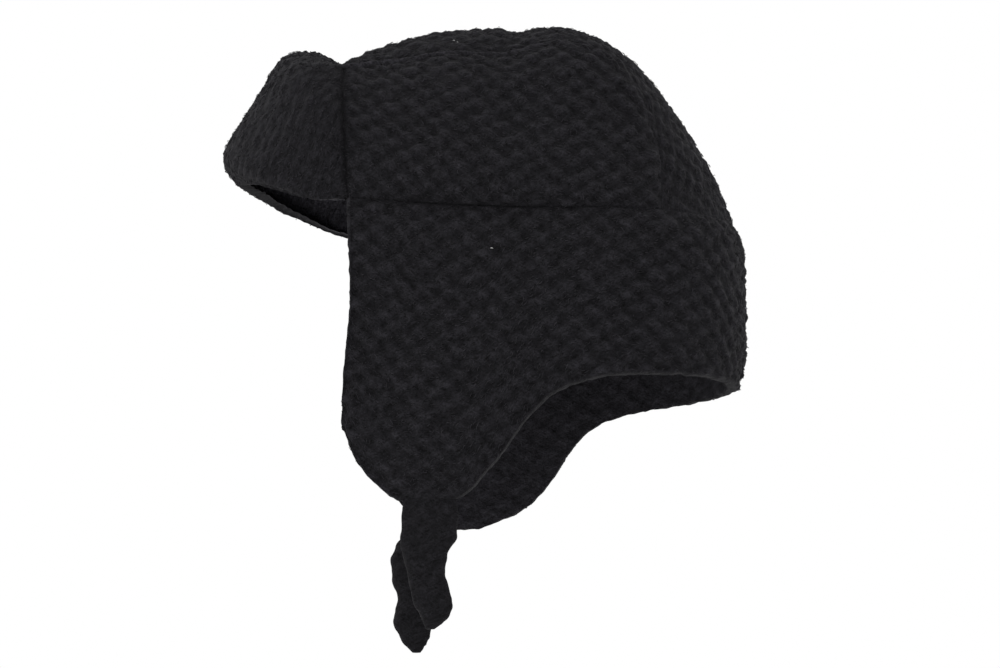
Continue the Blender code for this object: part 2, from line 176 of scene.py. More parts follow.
# Section of the peak, from the crown to the free edge, in shares of the straight line between them
PEAK_PROFILE = table(
    "along swell",
    (0.000, 0.000), (0.087, 0.203), (0.220, 0.315), (0.330, 0.318), (0.417, 0.300), (0.600, 0.272),
    (0.730, 0.251), (0.886, 0.216), (0.941, 0.181), (0.988, 0.113), (1.000, 0.000),
)
# Share of the swell that is left where the peak's corner meets the band
CORNER_SWELL = 0.45
# Share of the section that the crescent takes, in the middle and at the corners
CRESCENT_MIDDLE = 0.17
CRESCENT_CORNER = 0.48

# Ties from the flap down: shares of TIE_LENGTH, TIE_WIDTH, TIE_WIDTH, TIE_THICKNESS and TIE_LEAN
TIE_COLUMNS = "down forward width thickness lean"
LEFT_TIE = table(
    TIE_COLUMNS,
    (0.000, 0.00, 0.86, 0.50, 0.00),
    (0.105, 0.00, 0.88, 0.50, 0.00),
    (0.210, 0.01, 0.94, 0.80, 0.03),
    (0.355, 0.04, 0.94, 0.95, 0.16),
    (0.500, 0.12, 0.74, 1.00, 0.36),
    (0.640, 0.10, 0.64, 1.00, 0.55),
    (0.785, 0.02, 0.66, 0.95, 0.74),
    (0.910, -0.02, 0.50, 0.80, 0.90),
    (1.000, 0.06, 0.14, 0.40, 1.00),
)
RIGHT_TIE = table(
    TIE_COLUMNS,
    (0.000, -0.10, 0.74, 0.50, 0.00),
    (0.105, 0.08, 0.78, 0.50, 0.00),
    (0.195, 0.26, 0.80, 0.80, 0.03),
    (0.320, 0.38, 0.76, 0.95, 0.16),
    (0.445, 0.36, 0.74, 1.00, 0.36),
    (0.600, 0.27, 0.70, 1.00, 0.55),
    (0.730, 0.34, 0.68, 0.95, 0.74),
    (0.875, 0.30, 0.48, 0.80, 0.90),
    (0.965, 0.27, 0.14, 0.40, 1.00),
)
# Middle of each tie on the rim, as a share of CROWN_LENGTH behind the front edge: the right tie is
# sewn further forward and swings forward
LEFT_TIE_PLACE = 0.208
RIGHT_TIE_PLACE = 0.135

# Where the wall is measured to: a flat core inside the head, which each point of the hat faces
CORE_FRONT_SHARE = 0.02
CORE_BACK_SHARE = 0.64
CORE_TOP_SHARE = 0.51
# A wall that leans more than this from its core line isn't thickened any further
STEEPEST_WALL = 0.6

CROWN_TOP = KNIT_WALL
FRONT_Y = -FRONT_REACH
CORNER_Y = FRONT_Y + CORNER_SETBACK
BACK_Y = FRONT_Y + CROWN_LENGTH
SIDE_Y = BACK_Y - BACK_ROUND
SEAM_Z = CROWN_TOP - CROWN_HEIGHT
RIM_Z = SEAM_Z - BAND_DEPTH


def follow(stops, values, at):
    """Value at a place on a smooth curve through the rows, which never swings past a row."""
    count = len(stops)
    steps = [stops[i + 1] - stops[i] for i in range(count - 1)]
    rises = [(values[i + 1] - values[i]) / steps[i] for i in range(count - 1)]
    slopes = [rises[0]] + [0.0] * (count - 2) + [rises[-1]]
    for i in range(1, count - 1):
        if rises[i - 1] * rises[i] > 0:
            before = 2 * steps[i] + steps[i - 1]
            after = steps[i] + 2 * steps[i - 1]
            slopes[i] = (before + after) / (before / rises[i - 1] + after / rises[i])
    at = min(max(at, stops[0]), stops[-1])
    i = max(k for k in range(count - 1) if stops[k] <= at)
    t = (at - stops[i]) / steps[i]
    from_rows = values[i] * (1 + 2 * t) * (1 - t) ** 2 + values[i + 1] * t * t * (3 - 2 * t)
    from_slopes = slopes[i] * t * (1 - t) ** 2 + slopes[i + 1] * t * t * (t - 1)
    return from_rows + steps[i] * from_slopes


def look_up(columns, stops, values, at):
    """Value in one column of a table at a place in another one."""
    return follow(columns[stops], columns[values], at)


def seam_point(turn):
    """Point of the seam between crown and band: 0 is the middle of the back, 1 the side, where the
    round back ends, and 2 the front corner."""
    if turn < 1:
        angle = turn * math.pi / 2
        power = 2 / BACK_SQUARENESS
        across = HALF_WIDTH * math.sin(angle) ** power
        return Vector((across, SIDE_Y + BACK_ROUND * math.cos(angle) ** power, SEAM_Z))
    along = turn - 1
    across = HALF_WIDTH + (FRONT_HALF_WIDTH - HALF_WIDTH) * along**2
    height = SEAM_Z + SEAM_RISE * along**SEAM_RISE_GROWTH
    return Vector((across, SIDE_Y + (CORNER_Y - SIDE_Y) * along, height))


def ridge_and_centre(row):
    """Ridge point and centre point of the strip at a row of the table, with the seam as last row."""
    end = seam_point(RIDGE_TURN)
    back = seam_point(0)

    def value(name, scale, start, last):
        return follow(range(STRIP_END + 1), [start + scale * v for v in STRIP[name]] + [last], row)

    ridge_x = value("ridge_out", HALF_WIDTH, 0, end.x)
    ridge_y = value("ridge_back", CROWN_LENGTH, FRONT_Y, end.y)
    ridge_z = value("ridge_down", -CROWN_HEIGHT, CROWN_TOP, end.z)
    centre_y = value("centre_back", CROWN_LENGTH, FRONT_Y, back.y)
    centre_z = value("centre_down", -CROWN_HEIGHT, CROWN_TOP, back.z)
    return Vector((ridge_x, ridge_y, ridge_z)), Vector((0, centre_y, centre_z))


def strip_point(row, across):
    """Point of the strip: across runs from -1 on the right ridge to 1 on the left one. Each section
    is domed as the back of the opening is, so the strip ends on it."""
    ridge, centre = ridge_and_centre(row)
    end = seam_point(RIDGE_TURN)
    back = seam_point(0)
    level = seam_point(RIDGE_TURN * abs(across))
    out = level.x / end.x
    dome = (level.y - end.y) / (back.y - end.y)
    point = ridge.lerp(centre, dome)
    point.x = math.copysign(ridge.x * out, across)
    return point


def ridge_point(row):
    return ridge_and_centre(row)[0]


def arch_edge(down):
    """Front edge of the left side panel, from the ridge down to the corner."""
    top = ridge_point(0)
    corner = seam_point(2)
    chord = corner - top
    out = Vector((-chord.z, 0, chord.x)).normalized()
    return top + chord * down + out * ARCH_BULGE * math.sin(math.pi * down)


def seam_turn(back):
    """Turn of the seam at a share of the side panel's lower edge, from the front corner back."""
    side = SIDE_Y - CORNER_Y
    end = seam_point(RIDGE_TURN)
    rounded = (seam_point(1) - end).length
    side_share = side / (side + rounded)
    if back < side_share:
        return 2 - back / side_share
    return 1 - (1 - RIDGE_TURN) * (back - side_share) / (1 - side_share)


def core_of(point):
    """Nearest point of the flat core inside the head."""
    front = FRONT_Y - CORE_FRONT_SHARE * CROWN_LENGTH
    back = FRONT_Y + CORE_BACK_SHARE * CROWN_LENGTH
    top = CROWN_TOP - CORE_TOP_SHARE * CROWN_HEIGHT
    return Vector((0, min(max(point.y, front), back), min(point.z, top)))


def inward(point):
    return (core_of(point) - point).normalized()


def panel_point(back, down):
    """Point of the left side panel, blended from its four edges and bulged outward."""
    top = ridge_point(SHOULDER_ROW * back)
    low = seam_point(seam_turn(back))
    front = arch_edge(down)
    rear = ridge_point(SHOULDER_ROW + (STRIP_END - SHOULDER_ROW) * down)
    corners = (
        ridge_point(0).lerp(ridge_point(SHOULDER_ROW), back),
        seam_point(2).lerp(seam_point(RIDGE_TURN), back),
    )
    point = top.lerp(low, down) + front.lerp(rear, back) - corners[0].lerp(corners[1], down)
    relief = look_up(PANEL_RELIEF, "down", "bulge", down)
    across = math.sin(math.pi * back) ** PANEL_ROUNDNESS if 0 < back < 1 else 0
    return point - inward(point) * PANEL_BULGE * relief * across


def rim_height(y):
    return RIM_Z - FLAP_DROP * look_up(RIM, "back", "drop", (y - CORNER_Y) / CROWN_LENGTH)


def band_point(turn, down):
    """Point of the left half of the band, from the seam down to the rim."""
    top = seam_point(turn)
    rim = rim_height(top.y)
    point = Vector((top.x, top.y, top.z + (rim - top.z) * down))
    point -= inward(point) * BAND_BULGE * look_up(BAND_RELIEF, "down", "bulge", down)
    below = max(0, RIM_Z - point.z) / FLAP_DROP
    point.x -= FLAP_LEAN * below**FLAP_LEAN_GROWTH
    fade = max(0, 1 - (top.y - CORNER_Y) / (SWAY_FADE * CROWN_LENGTH))
    point.y -= FLAP_SWAY * fade * look_up(SWAY, "down", "forward", down)
    return point


def arch_point(around):
    """Point of the crown's front edge: 0 is the middle, 1 the corner. The strip's half comes first."""
    strip_share = (STRIP_COLUMNS / 2) / (STRIP_COLUMNS / 2 + PANEL_ROWS)
    if around <= strip_share:
        return strip_point(0, around / strip_share)
    return arch_edge((around - strip_share) / (1 - strip_share))


def peak_edge_point(around):
    out, forward, rise = (
        look_up(PEAK_EDGE, "around", name, around) for name in ("out", "forward", "rise")
    )
    corner = seam_point(2)
    return Vector((FRONT_HALF_WIDTH * out, corner.y - PEAK_REACH * forward, corner.z + PEAK_LIFT * rise))


def profile_stops():
    """Length along the peak's section at each row of its table, as a share of the whole."""
    rows = list(zip(PEAK_PROFILE["along"], PEAK_PROFILE["swell"]))
    stops = [0.0]
    for one, two in zip(rows, rows[1:]):
        stops.append(stops[-1] + math.hypot(two[0] - one[0], two[1] - one[1]))
    return [stop / stops[-1] for stop in stops]


def peak_point(around, forward):
    """Point of the left half of the peak, from the crown's front edge to the free edge."""
    start = arch_point(around)
    end = peak_edge_point(around)
    chord = end - start
    middle = (start + end) / 2
    outward = -inward(middle)
    direction = chord.normalized()
    out = (outward - direction * outward.dot(direction)).normalized()
    stops = profile_stops()
    along = follow(stops, PEAK_PROFILE["along"], forward)
    swell = follow(stops, PEAK_PROFILE["swell"], forward)
    fullness = 1 - (1 - CORNER_SWELL) * around**2
    height = PEAK_SWELL * chord.length / peak_chord() * swell * fullness
    return start + chord * along + out * height


def peak_chord():
    return (peak_edge_point(0) - arch_point(0)).length


def crescent_share(around):
    """Share of the section that the crescent takes, from the middle to the corner."""
    return CRESCENT_MIDDLE + (CRESCENT_CORNER - CRESCENT_MIDDLE) * around**CRESCENT_GROWTH


def place_on_seam(y):
    """Turn of the seam's straight side at a place along Y."""
    return 1 + (y - SIDE_Y) / (CORNER_Y - SIDE_Y)


# A grid's edges, as an axis and a place on it: first row, last row, first column and last column
EDGES = ((0, 0), (0, -1), (1, 0), (1, -1))
# Size of the outer faces, and how many of them an inner face is as wide as
CELL = 0.0010
BAND_CELL = 0.00122
INNER_STEP = 2
# Rows and columns of the coarse grids that the surfaces are worked out on
PANEL_GRID = (25, 41)
STRIP_GRID = (61, 17)
CRESCENT_GRID = (9, 29)
PEAK_GRID = (21, 29)
# The band's rows, and its columns on the back and on the side
BAND_GRID = (29, 19, 25)

# The knit: puffy stitches at the points of this lattice. Each pair is along the row and up the row.
NET_RISING = (0.0079, 0.0052)
NET_FALLING = (0.0070, -0.0072)
STITCH_HEIGHT = 0.0021
STITCH_FLOOR = 0.0009
STRAND_HALF_WIDTH = 0.30
STRAND_MEAN = 0.72
STRAND_WAVE = 0.28
STITCH_TILT = -0.17
STITCH_HALF_LENGTH = 0.0055
STITCH_HALF_WIDTH = 0.0030
STITCH_JITTER = 0.0008
STITCH_VARIETY = 0.20
LARGEST_DRAW = 1.5
TILT_VARIETY = 0.22
SOFT_FALL = 1.15
# Shares of the soft swelling, the round stitch and the strands in the height
SOFT_SHARE = 0.38
PUFF_SHARE = 0.30
STRAND_SHARE = 0.32
# The rows wander: how far, over what length, and with what finer wandering on top
WARP_SIZE = 0.0013
WARP_LENGTH = 0.026
WARP_FINER = 3.1
WARP_FINE_SHARE = 0.5
NOISE_CELLS = 256
# How much of the relief the peak, the strip and the ties have
PEAK_RELIEF = 0.5
STRIP_RELIEF = 0.8
TIE_RELIEF = 0.35
TIE_ROUGH = 0.4

# Small lumps of uneven yarn
ROUGH_SIZE = 0.00048
ROUGH_LENGTH = 0.0024

# Seams, welts and rims. A seam is deepest in its middle, and a welt runs out towards the back.
TUCK_DEPTH = 0.0008
TUCK_WIDTH = 0.0018
VALLEY_DEPTH = 0.0002
VALLEY_WIDTH = 0.0052
WELT_HEIGHT = 0.0020
WELT_WIDTH = 0.0040
WELT_SMOOTH_WIDTH = 0.0052
WELT_SMOOTHER = 0.2
WELT_LENGTH = 0.15
SEAM_MIDDLE = -0.035
SEAM_REACH = 0.075
RIM_ROLL = 0.0009
RIM_WIDTH = 0.0026
RIM_STEPS = 5
RIM_BULGE = 0.35
RIM_ROUGH = 0.0009
RIM_CLOTH_STEP = 0.0009
RIM_NOISE_STEP = 0.7
RIM_SMOOTHER = 0.5
SEAM_OVERLAP = 0.0005
# How often the directions and the roll around a piece's edge are evened out
AWAY_EVENINGS = 8
ROLL_EVENINGS = 4

# Wool: streaks of fibre along the strands, clumps and grain, in repeats to the metre
STREAK_SCALE = 900
STREAK_STRETCH = 0.25
STROKE = (1.0, -0.45)
PATCH_SCALE = 160
CLUMP_SCALE = 420
GRAIN_SCALE = 1300
FIBRE_BUMP = 0.0016
CLUMP_SHARE = 0.4
GRAIN_SHARE = 0.30
DARKEST_AT = 0.39
LIGHTEST_AT = 0.61
# Painted shade in the gaps between stitches and painted light on their tops, and what each place adds
GAP_SHADE = 0.52
TOP_SHADE = 1.25
BASE_TONE = 0.35
VALLEY_PAINTED_SHADE = 0.35
WELT_PAINTED_HIGHLIGHT = 1.6
EDGE_PAINTED_SHADE = 0.1
TIE_TONE = 0.15
INNER_PAINTED_LIGHT = 1.0
PEAK_INNER_PAINTED_LIGHT = 3.4
LARGEST_TONE = 4
# The inner side: its relief as a share of the outer one, and its shift along the rows
INNER_SHARE = 0.7
INNER_SHIFT = 0.004
DARK_WOOL = (0.0012, 0.0011, 0.0013, 1)
LIGHT_WOOL = (0.0225, 0.0214, 0.0256, 1)

# Loose fibres: their number to the square metre, tilt and its spread in degrees, and size
FUZZ_DENSITY = 130000
FUZZ_TILT = 12
FUZZ_SPREAD = 32
FUZZ_LENGTH = (0.0014, 0.0036)
FUZZ_RADIUS = (0.00012, 0.00026)
FUZZ_LIFT = 0.00025
FUZZ_LOOSE_SHARE = 0.12
FUZZ_LOOSE = 0.0011
FUZZ_STEPS = 5
FUZZ_SIDES = 3
FUZZ_BEND = 0.5
FUZZ_LOWEST_RISE = 0.3
FUZZ_SUNK = 0.4
FIBRE_TONES = 0.9
DARK_FIBRE = (0.006, 0.0057, 0.0065, 1)
LIGHT_FIBRE = (0.027, 0.0254, 0.0308, 1)
LINT = (0.6, 0.6, 0.6, 1)
LINT_SHARE = 0.0004

# Camera
CAMERA_AZIMUTH = 97
CAMERA_ELEVATION = -8
CAMERA_DISTANCE = 4.0
CAMERA_LENS = 266.7
CAMERA_SENSOR = 36
CAMERA_TARGET = (0.0032, -0.0257, -0.1602)

# Light. The floor lies far below, so that the hat can be seen from below too.
FLOOR_COLOUR = (0.80, 0.80, 0.79, 1)
FLOOR_HALF_SIZE = 14.0
FLOOR_LEVEL = -5.0
LIGHT_TARGET = (0, -0.03, -0.15)
# Name, place, size in metres and power in watts
LIGHTS = (
    ("key", (0.8, -2.2, 0.2), 1.2, 6),
    ("low_fill", (2.2, -0.6, -0.9), 0.9, 9),
    ("back_fill", (-1.4, 1.2, 1.0), 1.5, 4),
)

# The far flap, which is a little fuller behind in the photo
FLAP_TOP = -0.195
FLAP_EASE = 0.03
FAR_FLAP_FULLER = 0.006
CORNER_START = 1.4
CORNER_EASE = 0.014
CORNER_LIFT = 0.007

# The crown's top and the top of the peak, where the knit stands up a little
CROWN_TOP_LUMP = 0.0020
CROWN_LUMP_LENGTH = 0.17
CROWN_LUMP_ROUNDNESS = 0.7
PEAK_TOP_LUMP = 0.0024
PEAK_LUMP_WIDTH = 0.075
PEAK_LUMP_LENGTH = 0.03

# Ties
TIE_START_ROW = 0.5
TIE_AROUND = 72
TIE_DOWN = 96
# Shares of the tie between which it comes away from the flap's wall
TIE_FREE_START = 0.08
TIE_FREE_LENGTH = 0.35
TIE_END_ROWS = 6
# The rim isn't rolled beside a tie, over these shares of its width
TIE_FLAT_SHARE = 0.36
TIE_FADE_SHARE = 0.16
FAR_TIE_LONGER = 0.0045


def value_noise(x, y, seed):
    """Smooth noise from -1 to 1 over a grid of places one unit apart."""
    cells = NOISE_CELLS
    values = np.random.default_rng(seed).uniform(-1, 1, (cells, cells))
    i = np.floor(x).astype(int)
    j = np.floor(y).astype(int)
    u = x - i
    v = y - j
    u = u * u * (3 - 2 * u)
    v = v * v * (3 - 2 * v)
    i, j, after_i, after_j = i % cells, j % cells, (i + 1) % cells, (j + 1) % cells
    low = values[i, j] * (1 - u) + values[after_i, j] * u
    high = values[i, after_j] * (1 - u) + values[after_i, after_j] * u
    return low * (1 - v) + high * v


def spline_weights(count, places):
    """Weights that take a smooth line through count points to the given places between them."""
    weights = np.zeros((len(places), count))
    for row, place in enumerate(places):
        i = min(int(place), count - 2)
        t = place - i
        before, after = max(i - 1, 0), min(i + 2, count - 1)
        parts = (
            (before, (-t + 2 * t * t - t**3) / 2),
            (i, (2 - 5 * t * t + 3 * t**3) / 2),
            (i + 1, (t + 4 * t * t - 3 * t**3) / 2),
            (after, (t**3 - t * t) / 2),
        )
        for k, weight in parts:
            weights[row, k] += weight
        if i == 0:
            # Past the end the line goes straight on
            weights[row, 0] += parts[0][1]
            weights[row, 1] -= parts[0][1]
        if i == count - 2:
            weights[row, count - 1] += parts[3][1]
            weights[row, count - 2] -= parts[3][1]
    return weights


def step_lengths(grid, axis):
    return np.linalg.norm(np.diff(grid, axis=axis), axis=2)


def even_places(grid, axis, cell):
    """Places along one axis of a grid that are evenly spaced over its surface, and odd in number."""
    steps = step_lengths(grid, axis).max(axis=1 - axis)
    length = np.concatenate([[0], np.cumsum(steps)])
    count = 2 * max(1, round(length[-1] / cell / 2)) + 1
    return np.interp(np.linspace(0, length[-1], count), length, np.arange(len(length)))


def refine(grid, cell):
    """A fine grid on the smooth surface through the points of a coarse one."""
    rows = spline_weights(grid.shape[0], even_places(grid, 0, cell))
    columns = spline_weights(grid.shape[1], even_places(grid, 1, cell))
    return np.einsum("ri,ijk,cj->rck", rows, grid, columns)


def coarse_grid(function, rows, columns):
    return np.array([[function(row, column)[:] for column in columns] for row in rows])


def with_mirror(grid):
    """Joins a left half, whose first column is the middle, with its mirror image."""
    return np.concatenate([grid[:, :0:-1] * (-1, 1, 1), grid], axis=1)


def arc(grid, axis, start):
    """Length over the surface along one axis, counted from one of its rows or columns."""
    steps = step_lengths(grid, axis)
    zero = np.zeros_like(np.take(steps, [0], axis=axis))
    length = np.concatenate([zero, np.cumsum(steps, axis=axis)], axis=axis)
    return length - np.take(length, [start], axis=axis)


def cores(grid):
    """Nearest point of the head's core for each point of a grid."""
    return np.array([[core_of(Vector(point))[:] for point in row] for row in grid])


def outward_normals(grid, inside):
    """Normals of a surface that look away from the given points inside it."""
    normal = np.cross(np.gradient(grid, axis=0), np.gradient(grid, axis=1))
    normal /= np.maximum(np.linalg.norm(normal, axis=2, keepdims=True), 1e-12)
    return normal if (normal * (grid - inside)).sum() > 0 else -normal


def inner_points(grid, normal, core):
    """The wall's inner side, straight below each point towards the head."""
    towards = core - grid
    towards /= np.linalg.norm(towards, axis=2, keepdims=True)
    slope = np.maximum(np.abs((normal * towards).sum(axis=2)), STEEPEST_WALL)
    return grid + towards * (KNIT_WALL / slope)[..., None]


def lattice(along, up):
    """Places in the net: whole numbers are its crossings."""
    matrix = np.linalg.inv(np.array([NET_RISING, NET_FALLING]).T)
    return matrix[0, 0] * along + matrix[0, 1] * up, matrix[1, 0] * along + matrix[1, 1] * up


def strand(across, over):
    """Height of one family of strands, which goes over and under the other one by turns."""
    round_top = np.sqrt(np.clip(1 - (across / STRAND_HALF_WIDTH) ** 2, 0, 1))
    return round_top * (STRAND_MEAN + STRAND_WAVE * np.cos(np.pi * over))


def net_height(along, up, seed):
    """Height of the knit: a puffy stitch at each point of the lattice, each a little different."""
    x, y = along / WARP_LENGTH, up / WARP_LENGTH
    fine_x, fine_y = x * WARP_FINER, y * WARP_FINER
    shift_x = value_noise(x, y, seed) + WARP_FINE_SHARE * value_noise(fine_x, fine_y, seed + 1)
    shift_y = value_noise(x, y, seed + 2) + WARP_FINE_SHARE * value_noise(fine_x, fine_y, seed + 3)
    along = along + WARP_SIZE * shift_x
    up = up + WARP_SIZE * shift_y
    first, second = lattice(along, up)
    i, j = np.round(first).astype(int), np.round(second).astype(int)
    cells = NOISE_CELLS
    draws = np.random.default_rng(seed + 8).normal(0, 1, (4, cells, cells))
    soft = np.zeros_like(along)
    puff = np.zeros_like(along)
    for step_i in (-1, 0, 1):
        for step_j in (-1, 0, 1):
            one, two = i + step_i, j + step_j
            draw = draws[:, one % cells, two % cells]
            middle_x = one * NET_RISING[0] + two * NET_FALLING[0] + STITCH_JITTER * draw[0]
            middle_y = one * NET_RISING[1] + two * NET_FALLING[1] + STITCH_JITTER * draw[1]
            tilt = STITCH_TILT + TILT_VARIETY * draw[2]
            size = 1 + STITCH_VARIETY * np.clip(draw[3], -LARGEST_DRAW, LARGEST_DRAW)
            x, y = along - middle_x, up - middle_y
            u = (x * np.cos(tilt) + y * np.sin(tilt)) / STITCH_HALF_LENGTH
            v = (-x * np.sin(tilt) + y * np.cos(tilt)) / STITCH_HALF_WIDTH
            away = u * u + v * v
            soft += size * np.exp(-away * SOFT_FALL)
            puff = np.maximum(puff, size * np.sqrt(np.clip(1 - away, 0, 1)))
    strands = np.maximum(strand(second - j, first + j), strand(first - i, second + i + 1))
    mixed = SOFT_SHARE * soft + PUFF_SHARE * puff + STRAND_SHARE * strands
    return STITCH_HEIGHT * mixed - STITCH_FLOOR


def soften(values, times):
    """Evens out a grid of values a little, edges included."""
    for _ in range(times):
        padded = np.pad(values, 1, mode="edge")
        near = padded[2:, 1:-1] + padded[:-2, 1:-1] + padded[1:-1, 2:] + padded[1:-1, :-2]
        values = values * 0.5 + near * 0.125
    return values


def ramp(distance, width):
    """1 at an edge, falling smoothly to 0 at the given distance from it."""
    t = np.clip(1 - distance / width, 0, 1)
    return t * t * (3 - 2 * t)


def edge_distance(grid, edge):
    """Distance over the surface from one edge of a grid."""
    return np.abs(arc(grid, *edge))


def border(grid):
    """The values along the edge of a grid, once around it."""
    return np.concatenate([grid[0, :-1], grid[:-1, -1], grid[-1, :0:-1], grid[:0:-1, 0]])


def evened(values, times):
    """Evens out a closed row of values."""
    for _ in range(times):
        values = (values + np.roll(values, 1, axis=0) + np.roll(values, -1, axis=0)) / 3
    return values


def new_mesh(name, points, corners, sizes):
    """Smooth mesh from its points, its faces' corners in one row and the size of each face."""
    mesh = bpy.data.meshes.new(name)
    mesh.vertices.add(len(points))
    mesh.vertices.foreach_set("co", points.ravel())
    mesh.loops.add(len(corners))
    mesh.loops.foreach_set("vertex_index", corners)
    mesh.polygons.add(len(sizes))
    mesh.polygons.foreach_set("loop_start", np.concatenate([[0], np.cumsum(sizes)[:-1]]))
    mesh.polygons.foreach_set("use_smooth", np.ones(len(sizes), bool))
    mesh.update(calc_edges=True)
    return mesh


def set_values(mesh, name, values):
    mesh.attributes.new(name, "FLOAT", "POINT").data.foreach_set("value", values)


def add_object(name, data):
    thing = bpy.data.objects.new(name, data)
    bpy.context.scene.collection.objects.link(thing)
    return thing


def add_piece(name, mesh, material):
    """Object for a mesh, on the part's only body."""
    mesh.materials.append(material)
    piece = add_object(name, mesh)
    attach(piece, "root")
    return piece


def cell_corners(grid):
    """The four values around each cell of a grid."""
    return np.stack([grid[:-1, :-1], grid[1:, :-1], grid[1:, 1:], grid[:-1, 1:]], axis=2)


def set_cloth(mesh, places):
    """Keeps each corner's place in the cloth, for the wool's streaks and grain."""
    mesh.uv_layers.new(name="cloth").data.foreach_set("uv", places.ravel())


def edge_directions(outer):
    """Direction away from the piece at each point around its edge, evened out at the corners."""
    beside = [outer[1, :-1], outer[:-1, -2], outer[-2, :0:-1], outer[:0:-1, 1]]
    away = border(outer) - np.concatenate(beside)
    away /= np.linalg.norm(away, axis=1, keepdims=True)
    away = evened(away, AWAY_EVENINGS)
    return away / np.linalg.norm(away, axis=1, keepdims=True)


def build_mesh(name, outer, inner, finishes, seed):
    """Closed mesh from the outer side, the inner side with every second row and column, and the
    edges between them, which are rolled where their finish is a rim."""
    rows, columns = outer.shape[:2]
    low = inner[::INNER_STEP, ::INNER_STEP]
    points = [outer.reshape(-1, 3), low.reshape(-1, 3)]
    index = np.arange(rows * columns).reshape(rows, columns)
    low_index = index.size + np.arange(low[..., 0].size).reshape(low.shape[:2])
    inner_quads = cell_corners(low_index)[..., [0, 3, 2, 1]]
    quads = [cell_corners(index).reshape(-1, 4), inner_quads.reshape(-1, 4)]
    extra = index.size + low_index.size
    before = border(index)
    low_loop = border(low_index)
    inner_loop = border(inner)
    outer_loop = border(outer)
    away = edge_directions(outer)
    # Once around: first row, last column, last row, first column
    rolls = [float(finishes[k] == "rim") for k in (0, 3, 1, 2)]
    roll = evened(np.repeat(rolls, [columns - 1, rows - 1, columns - 1, rows - 1]), ROLL_EVENINGS)
    middle = (outer_loop + inner_loop) / 2
    half = (outer_loop - inner_loop) / 2
    radius = np.linalg.norm(half, axis=1)
    way = np.cumsum(np.linalg.norm(outer_loop - np.roll(outer_loop, 1, axis=0), axis=1))
    for step in range(1, RIM_STEPS + 1):
        angle = math.pi * step / (RIM_STEPS + 1)
        bulge = away * (RIM_BULGE * radius * roll * math.sin(angle))[:, None]
        bulge = bulge + away * (SEAM_OVERLAP * (1 - roll) * min(1, 2 * math.sin(angle)))[:, None]
        uneven = value_noise(way / ROUGH_LENGTH, np.full_like(way, step * RIM_NOISE_STEP), seed + 5)
        bulge = bulge + away * (RIM_ROUGH * uneven * roll)[:, None]
        points.append(middle + half * math.cos(angle) + bulge)
        ring = extra + np.arange(len(before))
        extra += len(before)
        quads.append(np.stack([before, np.roll(before, -1), np.roll(ring, -1), ring], axis=1))
        before = ring
    after = np.roll(before, -1)
    low_after = np.roll(low_loop, -1)
    threes = (
        (before[::2], after[::2], low_loop),
        (after[::2], low_after, low_loop),
        (before[1::2], after[1::2], low_after),
    )
    triangles = np.concatenate([np.stack(three, axis=1) for three in threes])
    points = np.concatenate(points)
    quads = np.concatenate(quads)
    corners = np.concatenate([quads.ravel(), triangles.ravel()])
    sizes = np.repeat([4, 3], [len(quads), len(triangles)])
    return new_mesh(name, points, corners, sizes), len(points), corners


def face_outward(mesh):
    """Turns a closed mesh's faces round if they face into it."""
    solid = bmesh.new()
    solid.from_mesh(mesh)
    if solid.calc_volume(signed=True) < 0:
        mesh.flip_normals()
    solid.free()


def finish_edges(grid, finishes, rolled, deep):
    """What the edges do to the knit: how much of its relief is left, how much the surface rises or
    sinks, and its tone, with painted shade in seam valleys and a painted highlight on welts."""
    keep = np.ones(grid.shape[:2])
    shape = np.zeros_like(keep)
    tone = np.full_like(keep, BASE_TONE)
    for edge, finish in zip(EDGES, finishes):
        distance = edge_distance(grid, edge)
        if finish == "tuck":
            near = ramp(distance, TUCK_WIDTH)
            shape -= TUCK_DEPTH * near * deep
            keep *= 1 - near
        elif finish == "valley":
            near = ramp(distance, VALLEY_WIDTH)
            shape -= VALLEY_DEPTH * near
            # Painted shade along the wide seam valley
            tone -= VALLEY_PAINTED_SHADE * near
            keep *= 1 - near
        elif finish == "welt":
            near = np.sin(np.pi * np.clip(distance / WELT_WIDTH, 0, 1))
            shape += WELT_HEIGHT * near * deep
            # Painted highlight along the top of the welt
            tone += WELT_PAINTED_HIGHLIGHT * near * deep
            keep *= 1 - ramp(distance, WELT_SMOOTH_WIDTH) * np.clip(deep + WELT_SMOOTHER, 0, 1)
        elif finish == "rim":
            near = np.sin(np.pi * np.clip(distance / RIM_WIDTH, 0, 1)) ** 2
            shape += RIM_ROLL * near * rolled
            keep *= 1 - RIM_SMOOTHER * ramp(distance, RIM_WIDTH)
    return keep, shape, tone


